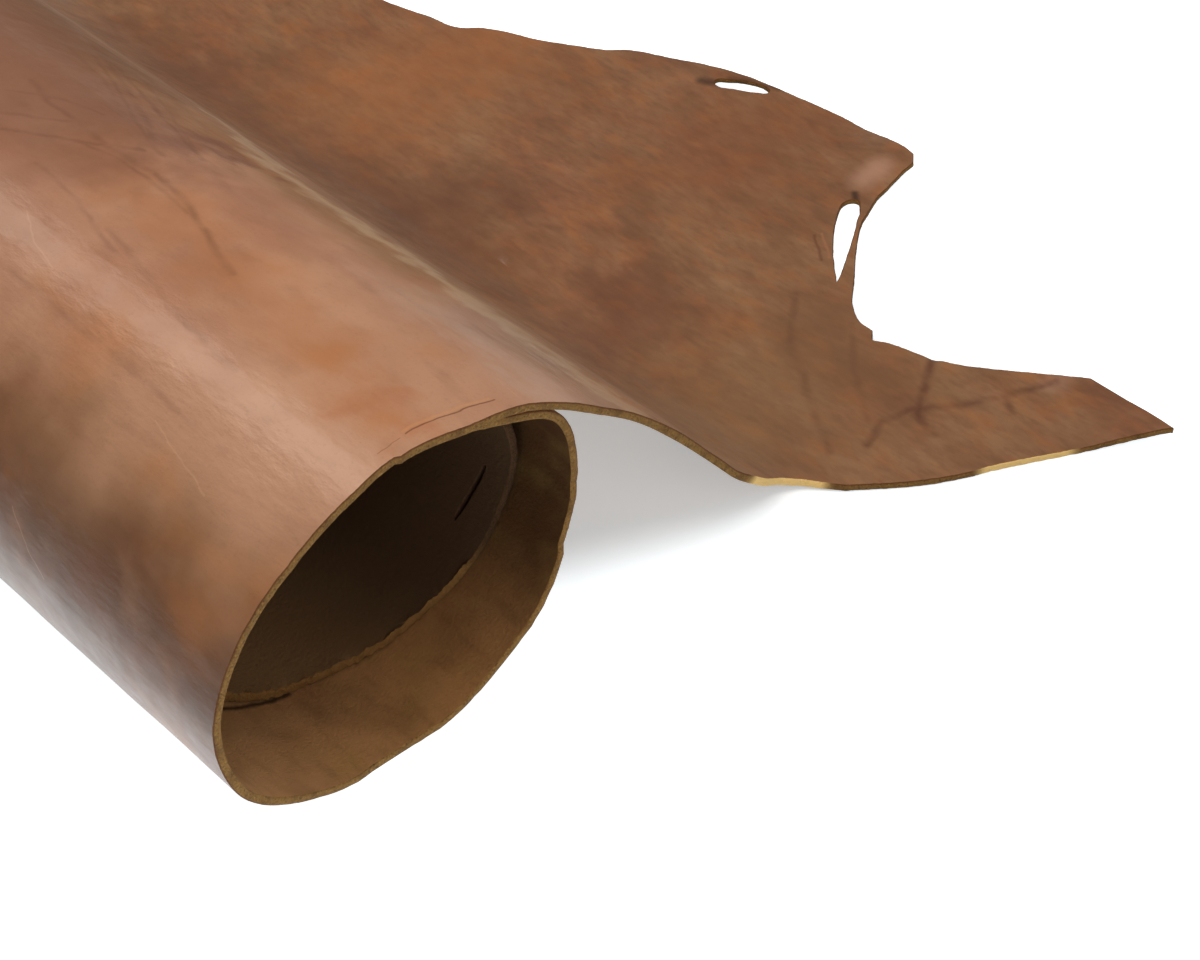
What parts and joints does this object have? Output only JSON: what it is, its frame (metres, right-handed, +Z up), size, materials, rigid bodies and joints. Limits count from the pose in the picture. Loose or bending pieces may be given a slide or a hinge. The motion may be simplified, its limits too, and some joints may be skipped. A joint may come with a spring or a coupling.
{
  "type": "rolled leather side",
  "caption": "Leather side, half a cowhide, loosely rolled grain side out into an open tube, with its outer end falling from the crest and lying open on the surface.",
  "frame": {"origin": "on the flat spot that the roll rests on, straight below the roll's axis, half-way between the backbone edge and the belly edge", "axes": "+Y along the roll from the even backbone edge to the uneven belly edge, +X from the roll to the open end, +Z up"},
  "size_m": [0.6542, 1.0634, 0.1834],
  "materials": {
    "leather": "waxed full grain outside, bare flesh side inside"
  },
  "bodies": {
    "root": {"leather_side": "leather"}
  },
  "joints": []
}
